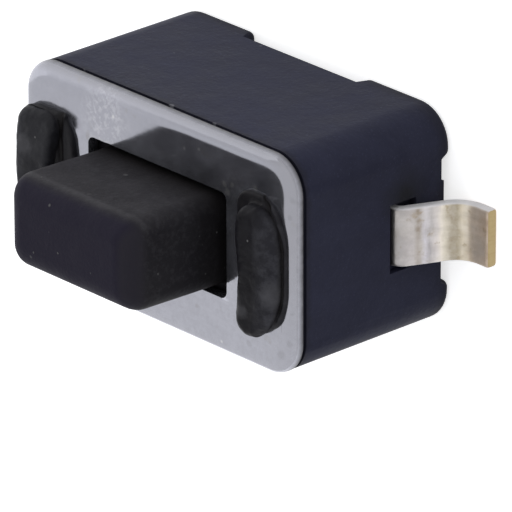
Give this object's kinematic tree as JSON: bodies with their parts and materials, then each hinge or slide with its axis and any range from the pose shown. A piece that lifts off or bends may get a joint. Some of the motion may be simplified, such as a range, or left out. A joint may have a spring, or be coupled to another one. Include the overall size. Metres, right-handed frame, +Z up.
{
  "type": "tactile push button",
  "caption": "Surface-mount tactile push button: oblong black body, staked metal cover, rectangular plunger over a snap dome, gull-wing lead at each end.",
  "frame": {"origin": "middle of the body on the board plane, which the corner feet and both solder feet stand on", "axes": "+X along the leads, +Y across the body, +Z up from the board, out of the button's face"},
  "size_m": [0.008, 0.0036, 0.005],
  "materials": {
    "housing": "moulded black plastic with a fine satin grain",
    "button": "matt moulded black plastic, lightly dusted",
    "cover": "bright rolled stainless sheet with sheared edges",
    "dome": "bright spring steel",
    "leads": "silver-plated brass, worn through in spots, bare brass at the cut tips"
  },
  "bodies": {
    "base": {"housing": "housing", "cover_plate": "cover", "snap_dome": "dome", "terminal_left": "leads", "terminal_right": "leads"},
    "plunger": {"button": "button"}
  },
  "joints": [
    {"name": "button_press", "type": "slide", "parent": "base", "child": "plunger", "axis": [0, 0, -1], "range_m": [0, 0.00025], "stiffness_N_per_m": 5000, "springref_m": -0.00005, "deforming": ["snap_dome"]}
  ]
}
